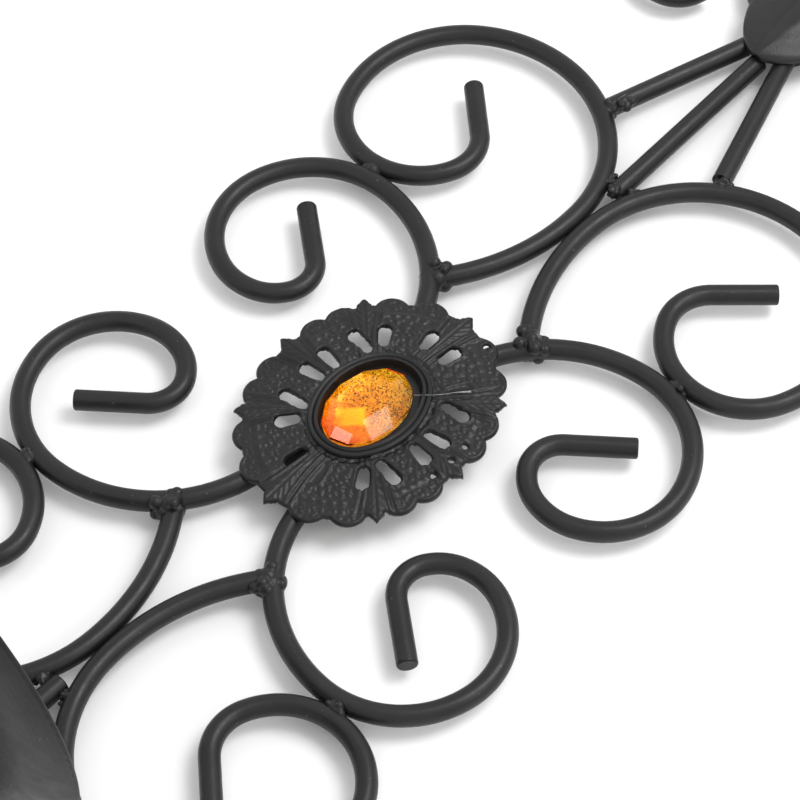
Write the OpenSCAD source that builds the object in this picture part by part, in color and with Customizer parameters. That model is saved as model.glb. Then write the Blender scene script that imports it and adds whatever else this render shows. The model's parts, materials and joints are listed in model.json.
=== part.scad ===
// Wall sconce candle holder: a flat panel of bent wire scrolls with a pressed leaf at the top,
// a pierced medallion with an oval stone in the middle, and a candle pan on a forward arm below.
// X points right, Y points into the wall and Z points up.
// The shapes are laid out from the middle of the scrollwork, in the plane of the wires. The whole
// model is then hung on its wall screw: the middle of the hanger tab's hole is the origin.

/* [Wire] */
// Diameter of the wire that every scroll and strut is bent from
wire_d = 5; // [4.8:0.1:5.2]

/* [Small scrolls] */
// Distance from the centre line to the back of each small scroll's wire
small_back = 4.5; // [4.4:0.1:4.6]
// Radius of the nearly straight back of a small scroll
small_back_r = 120; // [118:1:122]
// Length of the straight end inside a small scroll's hook
small_tail = 16.9; // [12:0.1:18]

/* [Large scrolls] */
// Height of the butt weld of a large scroll above the middle
large_foot_z = 45.05; // [44.9:0.05:45.2]
// Direction in which a large scroll leaves its weld, in degrees from +X
large_foot_turn = 127.5; // [127:0.5:128]
// Length of the straight end inside a large scroll's hook
large_tail = 16; // [12:0.1:17]

/* [Struts] */
// Half the spread of the strut feet on the large scrolls
strut_foot_x = 17.8; // [17:0.1:18.5]
// Height of the strut feet above the middle
strut_foot_z = 113; // [112:0.1:114]
// Height at which the centre strut ends between the side struts
strut_top_z = 149.2; // [148:0.1:152]
// Height at which the two side struts meet behind the leaf
strut_meet_z = 161; // [160:0.5:162]
// Height at which the centre strut wedges between the twin large scrolls
wedge_z = 92.8; // [92:0.1:93.5]
// Sideways offset of the leaf and the upper side struts, which are fitted by hand
crown_x = -1; // [-1.5:0.1:0]

/* [Leaf] */
// Height of the leaf's rounded base above the middle
leaf_base_z = 147.6; // [147:0.1:149]
// Length of the leaf
leaf_length = 70; // [60:1:80]
// Greatest width of the leaf
leaf_w = 29; // [27:0.5:32]
// Thickness of the leaf's sheet
leaf_t = 1.2; // [1:0.1:1.5]
// Rise of the leaf's ridge over its edges
leaf_rise = 4.5; // [3:0.1:6]
// Depth of the groove down the leaf's ridge
leaf_groove = 0.9; // [0.5:0.1:1.2]

/* [Medallion] */
// Half the width of the medallion's plain oval, without its lobes and tips
medal_half_w = 26.5; // [25:0.1:27]
// Half the height of the medallion's plain oval, without its lobes and tips
medal_half_h = 32.9; // [31:0.1:34]
// Sideways offset of the medallion's middle, which is fitted by hand
medal_x = 1.4; // [0:0.1:1.5]
// Height of the medallion's middle above the middle of the scrollwork
medal_z = 4; // [3:0.1:5]
// Thickness of the medallion's sheet
medal_t = 0.8; // [0.7:0.1:1]
// Rise of the medallion's dome over its rim
medal_rise = 1.5; // [1.2:0.1:2]
// Radius of the round lobes round the medallion's edge
lobe_r = 4.6; // [4.2:0.1:5]
// Width of a petal-shaped hole
petal_w = 2.7; // [2:0.1:3]

/* [Stone] */
// Half the width of the stone
stone_half_w = 9; // [8.5:0.1:9.5]
// Half the height of the stone
stone_half_h = 12.5; // [12:0.1:13]
// Height of the faceted stone over its foil
stone_h = 4.2; // [3.5:0.1:5]
// Gap between the stone's edge and the wall of the bezel's cup
cup_gap = 1.2; // [1:0.1:1.4]
// Radius of the cup's wall at the stone's two ends
bezel_end_r = 8.5; // [8.4:0.1:8.8]
// Turn of the table's first corner, in degrees
table_turn = 13; // [0:1:59]
// Distance that the stone is glued off the middle of its cup, to the left and down
stone_off = 0.5; // [0:0.1:0.6]

/* [Candle pan] */
// Radius of the pan at its lip
pan_r = 52; // [50:0.5:55]
// Radius of the pan's flat floor
pan_floor_r = 37; // [34:0.5:40]
// Depth of the pan
pan_depth = 5; // [4:0.5:6]
// Thickness of the pan's sheet
pan_t = 1.2; // [1:0.1:1.5]
// Distance from the wire plane forward to the pan's middle
pan_reach = 68; // [66:0.5:70]
// Height of the pan's lip below the middle of the scrollwork
pan_drop = 128; // [126:0.5:130]
// Diameter of the arm's rod
arm_d = 6; // [5.5:0.1:6.5]

/* [Hanger] */
// Diameter of the hole for the wall screw's head
screw_hole_d = 8; // [7:0.5:9]
// Height of the wall screw above the middle of the scrollwork
screw_z = 172; // [168:1:176]
// Thickness of the hanger tab's sheet
tab_t = 1.6; // [1.2:0.1:2]

/* [Hidden] */
black = [0.06, 0.06, 0.065];
wire_r = wire_d / 2;
// Every second bend is a hair thinner and reaches a little way into its neighbours
lap = 0.1;
lap_step = 0.02;
// Size of the broken edge round a wire's cut end
cut_edge = 0.5;
// Turn of a small scroll's back from its middle to where a hook begins, in degrees
small_back_turn = 13;
// Bends of a small scroll's hook, as [radius, degrees clockwise]
small_bends = [[37, 75], [25.3, 80], [20.4, 80], [16, 40], [12.8, 40], [8.3, 83]];
// Bends of a large scroll from its weld to its hook
large_bends = [[55, 41], [35.8, 120], [31, 80], [19.2, 133], [11.5, 71]];
// The twin large scrolls touch where their first bend is upright
large_foot_x = wire_r + large_bends[0][0] * (1 - sin(large_foot_turn));
// Bends of a crown curl: out from behind the leaf, up, and over into the curl
crown_bends = [[9, -66], [17, 125], [12.25, 130], [9, 60]];
crown_foot = [9, 164.6];
crown_heading = -6;
crown_tail = 3;
// Gap between the wires and the leaf's edge
leaf_gap = 0.2;
// Share of the leaf's length at which it is widest, and the roundness of its base and of its point
leaf_widest = 0.35;
base_power = 0.6;
point_power = 0.8;
// Fullness of the leaf's arch, half width of its groove as a share, and how far its tip nods forward
arch_power = 1.3;
groove_share = 0.09;
tip_nod = 5;
// The leaf's sheet starts and ends just short of the outline's own ends
leaf_start = 0.003;
leaf_share = 0.982;
// Faces of the stacked pieces at the medallion, counted forward from the wire plane
rim_y = wire_r + medal_t;
dome_y = rim_y + medal_rise;
cup_floor_t = 0.6;
foil_t = 0.25;
glue_t = 0.05;
foil_y = wire_r + cup_floor_t;
stone_y = foil_y + foil_t + glue_t;
// The dome meets its rim at the medallion's upper and lower tips
tip_reach = 2.4;
dome_reach = medal_half_h + tip_reach;
dome_r = (pow(dome_reach, 2) + pow(medal_rise, 2)) / (2 * medal_rise);
cup_half_w = stone_half_w + cup_gap;
cup_half_h = stone_half_h + cup_gap;
// Width of the flange by which the medallion's opening stands clear of the cup
opening_gap = 1.2;
rivet_d = 3.4;
// The pan's floor and the arm below it
pan_floor_z = -pan_drop - pan_depth;
boss_h = 9;
socket_depth = 3;
screw_r = 2;
screw_head_r = 3.65;
fit_gap = 0.05;
arm_front = wire_r + arm_d / 2;
arm_top_z = -118;
arm_bend_r = (pan_reach - arm_front) / 2;
arm_bend_z = -164;
tab_y = wire_r + tab_t;

// ---- Wire bending ----

// A heading of 0 points along +X and a heading of 90 points up
function turn_side(a) = a > 0 ? 1 : -1;
function turn_centre(p, h, r, a) = p + turn_side(a) * r * [sin(h), -cos(h)];
function bend_end(p, h, r, a) = turn_centre(p, h, r, a) + turn_side(a) * r * [-sin(h - a), cos(h - a)];

// One bend of wire: a stretch of ring
module bend(p, h, r, a, d, reach) {
    c = turn_centre(p, h, r, a);
    extra = reach / r * 180 / PI;
    start = a > 0 ? h + 90 - a : h - 90;
    translate([c[0], 0, c[1]])
        rotate([90, 0, 0])
            rotate([0, 0, start - extra])
                rotate_extrude(angle = abs(a) + 2 * extra, $fn = 96)
                    translate([r, 0])
                        circle(d = d, $fn = 32);
}

// A straight piece of wire that starts at p and runs along heading h to a cut end with broken edges
module straight(p, h, length, d, reach = 0) {
    r = d / 2;
    translate([p[0], 0, p[1]])
        rotate([0, 90 - h, 0])
            rotate_extrude($fn = 32)
                polygon([
                    [0, -reach],
                    [r, -reach],
                    [r, length - cut_edge],
                    [r - cut_edge * 0.3, length - cut_edge * 0.3],
                    [r - cut_edge, length],
                    [0, length],
                ]);
}

// A wire bent through a list of bends, with a straight tail
module bent_wire(p, h, bends, tail, thin = false, i = 0) {
    d = thin ? wire_d - lap_step : wire_d;
    reach = thin ? lap : 0;
    if (i < len(bends)) {
        r = bends[i][0];
        a = bends[i][1];
        bend(p, h, r, a, d, reach);
        bent_wire(bend_end(p, h, r, a), h - a, bends, tail, !thin, i + 1);
    } else {
        straight(p, h, tail, d, reach);
    }
}

// A straight wire between two points of the wire plane
module wire_between(a, b) {
    run = b - a;
    straight(a, atan2(run[1], run[0]), norm(run), wire_d);
}

// ---- Placing ----

// The left half mirrors the right half
module left() {
    mirror([1, 0, 0]) children();
}

// The lower half of the scrollwork mirrors the upper half
module below() {
    mirror([0, 0, 1]) children();
}

// Moves the layout so that the hanger tab's hole is the origin
module hung() {
    translate([0, -tab_y + tab_t / 2, -screw_z]) children();
}

// Stands a flat outline up, facing forward, with its back at the given distance from the wire plane
module facing(distance, thickness) {
    translate([0, -distance, 0])
        rotate([90, 0, 0])
            linear_extrude(height = thickness)
                children();
}

// ---- Scrollwork ----

// Both hooks of a small scroll are one wire, whose back passes under the medallion
module small_scroll() {
    upper = bend_end([small_back, 0], 90, small_back_r, small_back_turn);
    lower = [upper[0], -upper[1]];
    bend(lower, 90 + small_back_turn, small_back_r, 2 * small_back_turn, wire_d, 0);
    bent_wire(upper, 90 - small_back_turn, small_bends, small_tail, true);
    below() bent_wire(upper, 90 - small_back_turn, small_bends, small_tail, true);
}

module large_scroll() {
    bent_wire([large_foot_x, large_foot_z], large_foot_turn, large_bends, large_tail);
}

module side_strut(side, shift) {
    foot = [side * strut_foot_x + shift, strut_foot_z];
    top = [side * (wire_r + 0.15) + shift, strut_meet_z];
    wire_between(foot, top);
}

module centre_strut(shift) {
    wire_between([shift, strut_top_z], [0, wedge_z]);
}

module crown_curl() {
    bent_wire(crown_foot, crown_heading, crown_bends, crown_tail);
}

// Welds in one corner of the scrollwork, as [x, z, radius of the bead]: at the large scroll's foot, at
// the side strut's foot, where the large scroll's hook touches the small scroll, and by the centre strut
corner_welds = [
    [large_foot_x + 1.5, large_foot_z - 0.5, 3.1],
    [strut_foot_x + 0.9, strut_foot_z - 1.4, 2.6],
    [48.5, 57.6, 2.7],
    [3.7, wedge_z + 2, 2.1],
];
// Welds that have no twins, as [x, z, radius, distance forward of the wire plane]
front_welds = [
    // A bead on the front of the centre strut's foot, and a lump on the top left strut
    [0, wedge_z - 0.6, 1.8, 1.2],
    [-15.6, strut_foot_z + 1.4, 2.2, 2.6],
    // The struts and the crown curls are welded to the back of the leaf
    [crown_x, strut_meet_z - 4, 3.6, 2.2],
    [-11, crown_foot[1] - 0.4, 3, 1.8],
    [11, crown_foot[1] - 0.4, 3, 1.8],
    // The arm is welded to the lower centre strut
    [2.4, -126, 2.2, wire_r],
    [-2.4, -147, 2.2, wire_r],
];

module weld(bead) {
    forward = len(bead) > 3 ? bead[3] : 0;
    translate([bead[0], -forward, bead[1]]) sphere(r = bead[2], $fn = 24);
}

// ---- Leaf ----

// The leaf is an egg-shaped outline drawn out to a point, with u running from base to tip
function leaf_half(u) = u < leaf_widest
    ? leaf_w / 2 * pow(1 - pow(1 - u / leaf_widest, 2), base_power)
    : leaf_w / 2 * pow(cos((u - leaf_widest) / (1 - leaf_widest) * 90), point_power);
function leaf_groove_at(v) = leaf_groove * exp(-pow(v / groove_share, 2));
function leaf_swell(v) = leaf_rise * (1 - pow(abs(v), arch_power)) - leaf_groove_at(v);
function leaf_y(u, v) = -wire_r - leaf_gap - leaf_swell(v) * sqrt(sin(u * 180) + 0.01) - tip_nod * u * u;
// v runs from the left edge at -1 to the right edge at 1
function leaf_point(u, v, out) = [
    crown_x + max(leaf_half(u), 0.5) * v,
    leaf_y(u, v) - out,
    leaf_base_z + leaf_length * u,
];

module leaf_sheet() {
    rows = 22;
    us = [for (i = [0:rows]) pow(i / rows, 1.5) * leaf_share + leaf_start];
    side = [0.05, 0.1, 0.18, 0.35, 0.55, 0.8, 1];
    cols = 2 * len(side);
    vs = concat([for (j = [len(side) - 1:-1:0]) -side[j]], [0], side);
    w = cols + 1;
    n = w * (rows + 1);
    points = [
        for (out = [0, leaf_t])
            for (u = us)
                for (v = vs)
                    leaf_point(u, v, out)
    ];
    skins = [
        for (i = [0:rows - 1])
            for (j = [0:cols - 1])
                let (a = i * w + j)
                    each [
                        [a, a + 1, a + w + 1],
                        [a, a + w + 1, a + w],
                        [n + a, n + a + w + 1, n + a + 1],
                        [n + a, n + a + w, n + a + w + 1],
                    ]
    ];
    ends = [
        for (j = [0:cols - 1])
            let (b = rows * w + j)
                each [
                    [j, n + j, n + j + 1],
                    [j, n + j + 1, j + 1],
                    [b, b + 1, n + b + 1],
                    [b, n + b + 1, n + b],
                ]
    ];
    sides = [
        for (i = [0:rows - 1])
            let (a = i * w, b = i * w + cols)
                each [
                    [a, a + w, n + a + w],
                    [a, n + a + w, n + a],
                    [b, n + b + w, b + w],
                    [b, n + b, n + b + w],
                ]
    ];
    polyhedron(points = points, faces = concat(skins, ends, sides), convexity = 6);
}

// ---- Medallion ----

function oval(half_w, half_h, t) = [half_w * cos(t), half_h * sin(t)];
function oval_outline(half_w, half_h, steps, start = 0) = [
    for (i = [0:steps - 1]) oval(half_w, half_h, start + i * 360 / steps)
];
function mirrored_turns(turns) = [for (t = turns, q = [t, 180 - t, 180 + t, 360 - t]) q];

// Round lobes sit in pairs between the leaf tips
lobe_turns = [14, 27, 51, 71];
lobe_inset = 2.6;

module lobes() {
    for (t = mirrored_turns(lobe_turns)) {
        translate(oval(medal_half_w - lobe_inset, medal_half_h - lobe_inset, t))
            circle(r = lobe_r, $fn = 24);
    }
}

// Eight pointed leaf tips, four of them on the two axes
tip_corners = [[-4, -2.6], [0.4, -1.8], [tip_reach, 0], [0.4, 1.8], [-4, 2.6]];
slanted_tip_turn = 38;

module leaf_tips() {
    for (t = concat([0, 90, 180, 270], mirrored_turns([slanted_tip_turn]))) {
        p = oval(medal_half_w, medal_half_h, t);
        translate(p)
            rotate(atan2(p[1], p[0]))
                polygon(tip_corners);
    }
}

// Petal-shaped holes in pairs beside the leaves, as [turn, length, tilt off the outward direction]
petals = [[7, 6.4, 0], [30, 7.4, -30], [46, 6, 0], [79, 6, 0]];
// The holes' middles lie on an oval that was punched a little off the medallion's own middle
petal_oval = [17, 22.5];
petal_shift = [0.5, 0.7];

module petal_holes() {
    for (petal = petals) {
        run = petal[1] - petal_w;
        for (turn = [[petal[0], 1], [180 - petal[0], -1], [180 + petal[0], 1], [360 - petal[0], -1]]) {
            p = oval(petal_oval[0], petal_oval[1], turn[0]);
            translate(p + petal_shift)
                rotate(atan2(p[1], p[0]) + turn[1] * petal[2]) {
                    square([run, petal_w], center = true);
                    for (end = [-run / 2, run / 2]) {
                        translate([end, 0]) circle(d = petal_w, $fn = 24);
                    }
                }
        }
    }
}

module medal_outline() {
    difference() {
        union() {
            polygon(oval_outline(medal_half_w, medal_half_h, 72));
            lobes();
            leaf_tips();
        }
        petal_holes();
        polygon(oval_outline(cup_half_w + opening_gap, cup_half_h + opening_gap, 72));
    }
}

// The stamping is a thin slice of a large dome, cut to its outline and open for the bezel's cup
module medal_sheet() {
    slack = 3;
    translate([medal_x, 0, medal_z])
        intersection() {
            facing(rim_y - slack, medal_rise + 2 * slack) medal_outline();
            translate([0, dome_r - dome_y, 0])
                difference() {
                    sphere(r = dome_r, $fn = 200);
                    sphere(r = dome_r - medal_t, $fn = 200);
                }
        }
}

// A flat strap behind the two small scrolls clamps them against the bezel's cup
module back_strap() {
    strap_w = 12;
    straight_run = 8;
    translate([0, 0, medal_z])
        facing(-wire_r - tab_t, tab_t)
            difference() {
                union() {
                    square([straight_run, strap_w], center = true);
                    for (side = [-1, 1]) {
                        translate([side * straight_run / 2, 0]) circle(d = strap_w, $fn = 48);
                    }
                }
                circle(d = rivet_d, $fn = 32);
            }
}

// The rivet passes between the two small scrolls and holds strap and cup together
module rivet() {
    front = foil_y - 0.02;
    back = wire_r + tab_t;
    head_h = 1.1;
    translate([0, -front, medal_z])
        rotate([-90, 0, 0])
            cylinder(d = rivet_d - 0.1, h = front + back, $fn = 32);
    translate([0, back, medal_z])
        rotate([-90, 0, 0])
            cylinder(d1 = 6.4, d2 = 4.6, h = head_h, $fn = 32);
}

// ---- Bezel and stone ----

// A four-arc oval: the end arcs have the radius end_r, and the side arcs meet them smoothly
function side_radius(a, b, end_r) =
    (pow(a, 2) + pow(b - end_r, 2) - pow(end_r, 2)) / (2 * (a - end_r));
function side_spread(a, b, end_r) = atan2(b - end_r, side_radius(a, b, end_r) - a);

// Section of the bezel, outwards from the cup's wall: the wall, an inner ridge, a groove, an outer
// ridge, and a flange that laps over the medallion
module bezel_section(thin) {
    s = thin ? 0.01 : 0;
    polygon([
        [-1.2 + s, s],
        [0.7 - s, s],
        [0.8 - s, 2.05 + s],
        [2.2 - s, 2.05 + s],
        [2.4 - s, 2.3],
        [2.2 - s, 2.8],
        [1.8, 3.1 - s],
        [1.4, 3 - s],
        [1.1, 2.7 - s],
        [0.8, 3.1 - s],
        [0.4, 3.4 - s],
        [0.1, 3.2 - s],
        [s, 2.6],
        [-0.3 + s, 1],
        [-0.6 + s, 0.6],
        [-1.2 + s, 0.5],
    ]);
}

module bezel_arc(centre, radius, middle, spread, thin) {
    extra = thin ? lap / radius * 180 / PI : 0;
    translate([centre[0], centre[1], 0])
        rotate([0, 0, middle - spread - extra])
            rotate_extrude(angle = 2 * (spread + extra), $fn = 96)
                translate([radius, 0])
                    bezel_section(thin);
}

// A cup with a flat floor that lies on the wires, and a double ring round its mouth
module bezel_cup() {
    a = cup_half_w;
    b = cup_half_h;
    end_r = bezel_end_r;
    side_r = side_radius(a, b, end_r);
    spread = side_spread(a, b, end_r);
    floor_inset = 0.4;
    translate([medal_x, -wire_r, medal_z])
        rotate([90, 0, 0]) {
            bezel_arc([a - side_r, 0], side_r, 0, spread, false);
            bezel_arc([side_r - a, 0], side_r, 180, spread, false);
            bezel_arc([0, b - end_r], end_r, 90, 90 - spread, true);
            bezel_arc([0, end_r - b], end_r, 270, 90 - spread, true);
        }
    difference() {
        translate([medal_x, 0, medal_z])
            facing(wire_r, cup_floor_t)
                polygon(oval_outline(a - floor_inset, b - floor_inset, 72));
        translate([0, 0, medal_z])
            rotate([90, 0, 0])
                cylinder(d = rivet_d, h = 10, $fn = 32);
    }
}

// The stone's place in its cup
module glued() {
    translate([medal_x - stone_off, 0, medal_z - stone_off]) children();
}

module foil() {
    inset = 0.4;
    glued()
        facing(foil_y, foil_t)
            polygon(oval_outline(stone_half_w - inset, stone_half_h - inset, 48));
}

// The stone is cut through four thin slices: its seat, the two edges of its girdle and its table.
// Each slice is an oval with flat facets, whose first corner lies at the given turn
slice_t = 0.02;
girdle_turn = table_turn + 15;

module stone_slice(share, height, steps, start) {
    half_w = (stone_half_w - 0.1) * share;
    half_h = (stone_half_h - 0.1) * share;
    translate([0, 0, height])
        linear_extrude(height = slice_t)
            polygon(oval_outline(half_w, half_h, steps, start));
}

module faceted_stone() {
    glued()
        translate([0, -stone_y, 0])
            rotate([90, 0, 0])
                hull() {
                    stone_slice(0.96, 0, 12, girdle_turn);
                    stone_slice(1, 0.6, 12, girdle_turn);
                    stone_slice(0.985, 1.1, 12, girdle_turn);
                    stone_slice(0.59, stone_h - slice_t, 6, table_turn);
                }
}

// ---- Candle pan ----

// A saucer of plain sheet: a flat floor and a rim that curves up from it
module pan_dish() {
    lip_x = pan_r - pan_t / 2;
    run = lip_x - pan_floor_r;
    rim_turn = 2 * atan((pan_depth - pan_t) / run);
    centre_z = run / sin(rim_turn) + pan_t / 2;
    steps = 10;
    function rim_arc(radius) = [
        for (i = [0:steps])
            [pan_floor_r + radius * sin(rim_turn * i / steps), centre_z - radius * cos(rim_turn * i / steps)]
    ];
    inside = rim_arc(centre_z - pan_t);
    hole_r = screw_r + 0.25;
    sink_r = screw_head_r + 0.1;
    translate([0, -pan_reach, pan_floor_z])
        rotate_extrude($fn = 128)
            difference() {
                union() {
                    polygon(concat(
                        [[0, pan_t], [0, 0]],
                        rim_arc(centre_z),
                        [for (i = [steps:-1:0]) inside[i]]
                    ));
                    translate([lip_x, pan_depth - pan_t / 2]) circle(d = pan_t, $fn = 24);
                }
                polygon([
                    [0, -1],
                    [hole_r, -1],
                    [hole_r, 0],
                    [sink_r, pan_t + 0.01],
                    [0, pan_t + 0.01],
                ]);
            }
}

// A flanged boss joins the arm's end to the pan's floor. Its socket takes the arm and its bore the screw
module boss() {
    body_r = 7;
    flange_r = 14;
    flange_t = 1.6;
    translate([0, -pan_reach, pan_floor_z - boss_h])
        rotate_extrude($fn = 64)
            polygon([
                [arm_d / 2 + fit_gap, 0],
                [body_r - 0.5, 0],
                [body_r, 0.5],
                [body_r, boss_h - flange_t - 0.4],
                [flange_r - 0.5, boss_h - flange_t],
                [flange_r, boss_h - flange_t + 0.4],
                [flange_r, boss_h],
                [screw_r + fit_gap, boss_h],
                [screw_r + fit_gap, socket_depth],
                [arm_d / 2 + fit_gap, socket_depth],
            ]);
}

// A countersunk screw from above, flush with the pan's floor
module countersunk_screw() {
    shank = 4.5;
    slot_w = 0.9;
    slot_depth = 0.6;
    translate([0, -pan_reach, pan_floor_z])
        difference() {
            union() {
                translate([0, 0, -shank]) cylinder(r = screw_r, h = shank + fit_gap, $fn = 32);
                cylinder(r1 = 2.2, r2 = screw_head_r, h = pan_t - fit_gap, $fn = 32);
            }
            translate([-4, -slot_w / 2, pan_t - slot_depth]) cube([8, slot_w, 2]);
        }
}

// The arm runs down the bottom struts, swings forward in a half round and rises into the boss
module arm() {
    top = pan_floor_z - boss_h + socket_depth - 0.1;
    lap_turn = 0.2;
    translate([0, -arm_front, arm_bend_z])
        cylinder(d = arm_d, h = arm_top_z - arm_bend_z, $fn = 32);
    translate([0, -arm_front - arm_bend_r, arm_bend_z])
        rotate([0, 90, 0])
            rotate([0, 0, -90 - lap_turn])
                rotate_extrude(angle = 180 + 2 * lap_turn, $fn = 96)
                    translate([arm_bend_r, 0])
                        circle(d = arm_d - lap_step, $fn = 32);
    translate([0, -pan_reach, arm_bend_z])
        cylinder(d = arm_d, h = top - arm_bend_z, $fn = 32);
}

// ---- Hanger ----

// A flat tab welded to the back of the struts, with a round hole for the wall screw
module tab() {
    foot_z = 155;
    foot_half_w = 3.5;
    waist_z = 164;
    half_w = 8;
    facing(-tab_y, tab_t)
        difference() {
            union() {
                polygon([
                    [-foot_half_w, foot_z],
                    [foot_half_w, foot_z],
                    [half_w, waist_z],
                    [half_w, screw_z],
                    [-half_w, screw_z],
                    [-half_w, waist_z],
                ]);
                translate([0, screw_z]) circle(r = half_w, $fn = 48);
            }
            translate([0, screw_z]) circle(d = screw_hole_d, $fn = 48);
        }
}

// ---- Nodes ----

module small_scroll_left() {
    color(black) hung() left() small_scroll();
}

module small_scroll_right() {
    color(black) hung() small_scroll();
}

module large_scroll_top_left() {
    color(black) hung() left() large_scroll();
}

module large_scroll_top_right() {
    color(black) hung() large_scroll();
}

module large_scroll_bottom_left() {
    color(black) hung() left() below() large_scroll();
}

module large_scroll_bottom_right() {
    color(black) hung() below() large_scroll();
}

module strut_top_left() {
    color(black) hung() side_strut(-1, crown_x);
}

module strut_top_centre() {
    color(black) hung() centre_strut(crown_x);
}

module strut_top_right() {
    color(black) hung() side_strut(1, crown_x);
}

module strut_bottom_left() {
    color(black) hung() below() side_strut(-1, 0);
}

module strut_bottom_centre() {
    color(black) hung() below() centre_strut(0);
}

module strut_bottom_right() {
    color(black) hung() below() side_strut(1, 0);
}

module crown_curl_left() {
    color(black) hung() left() crown_curl();
}

module crown_curl_right() {
    color(black) hung() crown_curl();
}

module leaf() {
    color(black) hung() leaf_sheet();
}

module medallion() {
    color(black) hung() medal_sheet();
}

module medallion_back_strap() {
    color(black) hung() back_strap();
}

module medallion_rivet() {
    color("silver") hung() rivet();
}

module bezel() {
    color(black) hung() bezel_cup();
}

module stone_foil() {
    color("gold") hung() foil();
}

module stone() {
    color("orange") hung() faceted_stone();
}

module candle_pan() {
    color(black) hung() pan_dish();
}

module pan_boss() {
    color(black) hung() boss();
}

module pan_screw() {
    color("silver") hung() countersunk_screw();
}

module pan_arm() {
    color(black) hung() arm();
}

module hanger_tab() {
    color(black) hung() tab();
}

module weld_beads() {
    color(black)
        hung() {
            for (bead = corner_welds) {
                weld(bead);
                left() weld(bead);
                below() weld(bead);
                left() below() weld(bead);
            }
            for (bead = front_welds) {
                weld(bead);
            }
        }
}

small_scroll_left();
small_scroll_right();
large_scroll_top_left();
large_scroll_top_right();
large_scroll_bottom_left();
large_scroll_bottom_right();
strut_top_left();
strut_top_centre();
strut_top_right();
strut_bottom_left();
strut_bottom_centre();
strut_bottom_right();
crown_curl_left();
crown_curl_right();
leaf();
medallion();
medallion_back_strap();
medallion_rivet();
bezel();
stone_foil();
stone();
candle_pan();
pan_boss();
pan_screw();
pan_arm();
hanger_tab();
weld_beads();
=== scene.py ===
"""Looks of the wall sconce candle holder: powder-coated wire scrolls, a stamped medallion with an amber
stone, a pressed leaf and a candle pan. Lengths are in metres, in the CAD frame: +X right, +Y into the
wall, +Z up, with the origin in the middle of the wall screw's hole."""

import json
import math
import random

import bmesh
import bpy
import numpy as np
from mathutils import Matrix, Vector


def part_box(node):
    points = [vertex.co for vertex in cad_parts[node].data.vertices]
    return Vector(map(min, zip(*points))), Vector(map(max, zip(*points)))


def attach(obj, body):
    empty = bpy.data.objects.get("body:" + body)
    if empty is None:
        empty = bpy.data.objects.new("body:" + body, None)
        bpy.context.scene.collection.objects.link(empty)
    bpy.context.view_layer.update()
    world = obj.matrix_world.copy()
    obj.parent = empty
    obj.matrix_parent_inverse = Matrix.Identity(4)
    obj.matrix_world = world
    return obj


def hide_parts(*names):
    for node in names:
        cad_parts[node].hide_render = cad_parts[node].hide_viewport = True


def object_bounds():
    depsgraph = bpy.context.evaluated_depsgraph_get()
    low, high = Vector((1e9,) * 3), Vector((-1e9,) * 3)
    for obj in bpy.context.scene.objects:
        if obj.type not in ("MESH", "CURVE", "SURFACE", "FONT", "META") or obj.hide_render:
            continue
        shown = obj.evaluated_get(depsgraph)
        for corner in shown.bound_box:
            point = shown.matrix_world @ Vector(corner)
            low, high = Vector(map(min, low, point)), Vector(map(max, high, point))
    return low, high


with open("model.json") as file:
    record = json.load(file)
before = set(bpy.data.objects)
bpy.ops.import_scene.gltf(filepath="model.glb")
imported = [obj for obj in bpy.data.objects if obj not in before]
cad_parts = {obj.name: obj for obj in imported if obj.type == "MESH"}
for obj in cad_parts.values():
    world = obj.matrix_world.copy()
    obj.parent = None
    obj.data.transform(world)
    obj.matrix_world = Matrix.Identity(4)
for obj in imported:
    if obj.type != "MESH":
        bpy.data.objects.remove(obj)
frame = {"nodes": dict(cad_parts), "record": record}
cad_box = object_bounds()

MM = 0.001
BODY = "root"

# The photograph's viewing angle: from the sconce's lower right, rolled so that the sconce runs up to
# the right. The distance and clipping are in metres; the aim off the bezel's middle and the lens in mm.
VIEW_AZIMUTH = math.radians(26.03)
VIEW_ELEVATION = math.radians(-24.73)
VIEW_ROLL = math.radians(48.45)
VIEW_DISTANCE = 0.6936
VIEW_AIM = (3.3, 1.1, 6.5)
LENS = 135.25
SENSOR = 36.0
CLIP_START = 0.01
CLIP_END = 50


def middle(node):
    """Middle of a CAD node's box."""
    low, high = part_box(node)
    return (low + high) / 2


# The wires lie in one plane; it is where the small scrolls' boxes have their middle
wire_plane_y = middle("small_scroll_right").y
scroll_centre = (middle("small_scroll_left") + middle("small_scroll_right")) / 2
wire_r = (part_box("small_scroll_right")[1].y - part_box("small_scroll_right")[0].y) / 2


# ---- Materials ----

# The foil's painted highlight, a bright patch of colour and glow, in mm: its middle off the stone's middle,
# and its half size along each direction
PAINTED_HIGHLIGHT = (-0.5, 0.0, -4.4)
PAINTED_HIGHLIGHT_SIDES = ((3.3, (0.734, 0, 0.679)), (2.1, (0.722, 0, -0.692)))

# Colours, as linear red, green and blue
COAT_DARK, COAT_LIGHT = (0.0080, 0.0080, 0.0090), (0.0125, 0.0125, 0.0137)
DUST = (0.09, 0.09, 0.088)
ZINC_DARK, ZINC_LIGHT = (0.42, 0.42, 0.43), (0.60, 0.60, 0.61)
GOLD_DEEP, GOLD_BRIGHT = (0.80, 0.42, 0.05), (1.0, 0.76, 0.18)
SPECK = (0.08, 0.03, 0.004)
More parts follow.
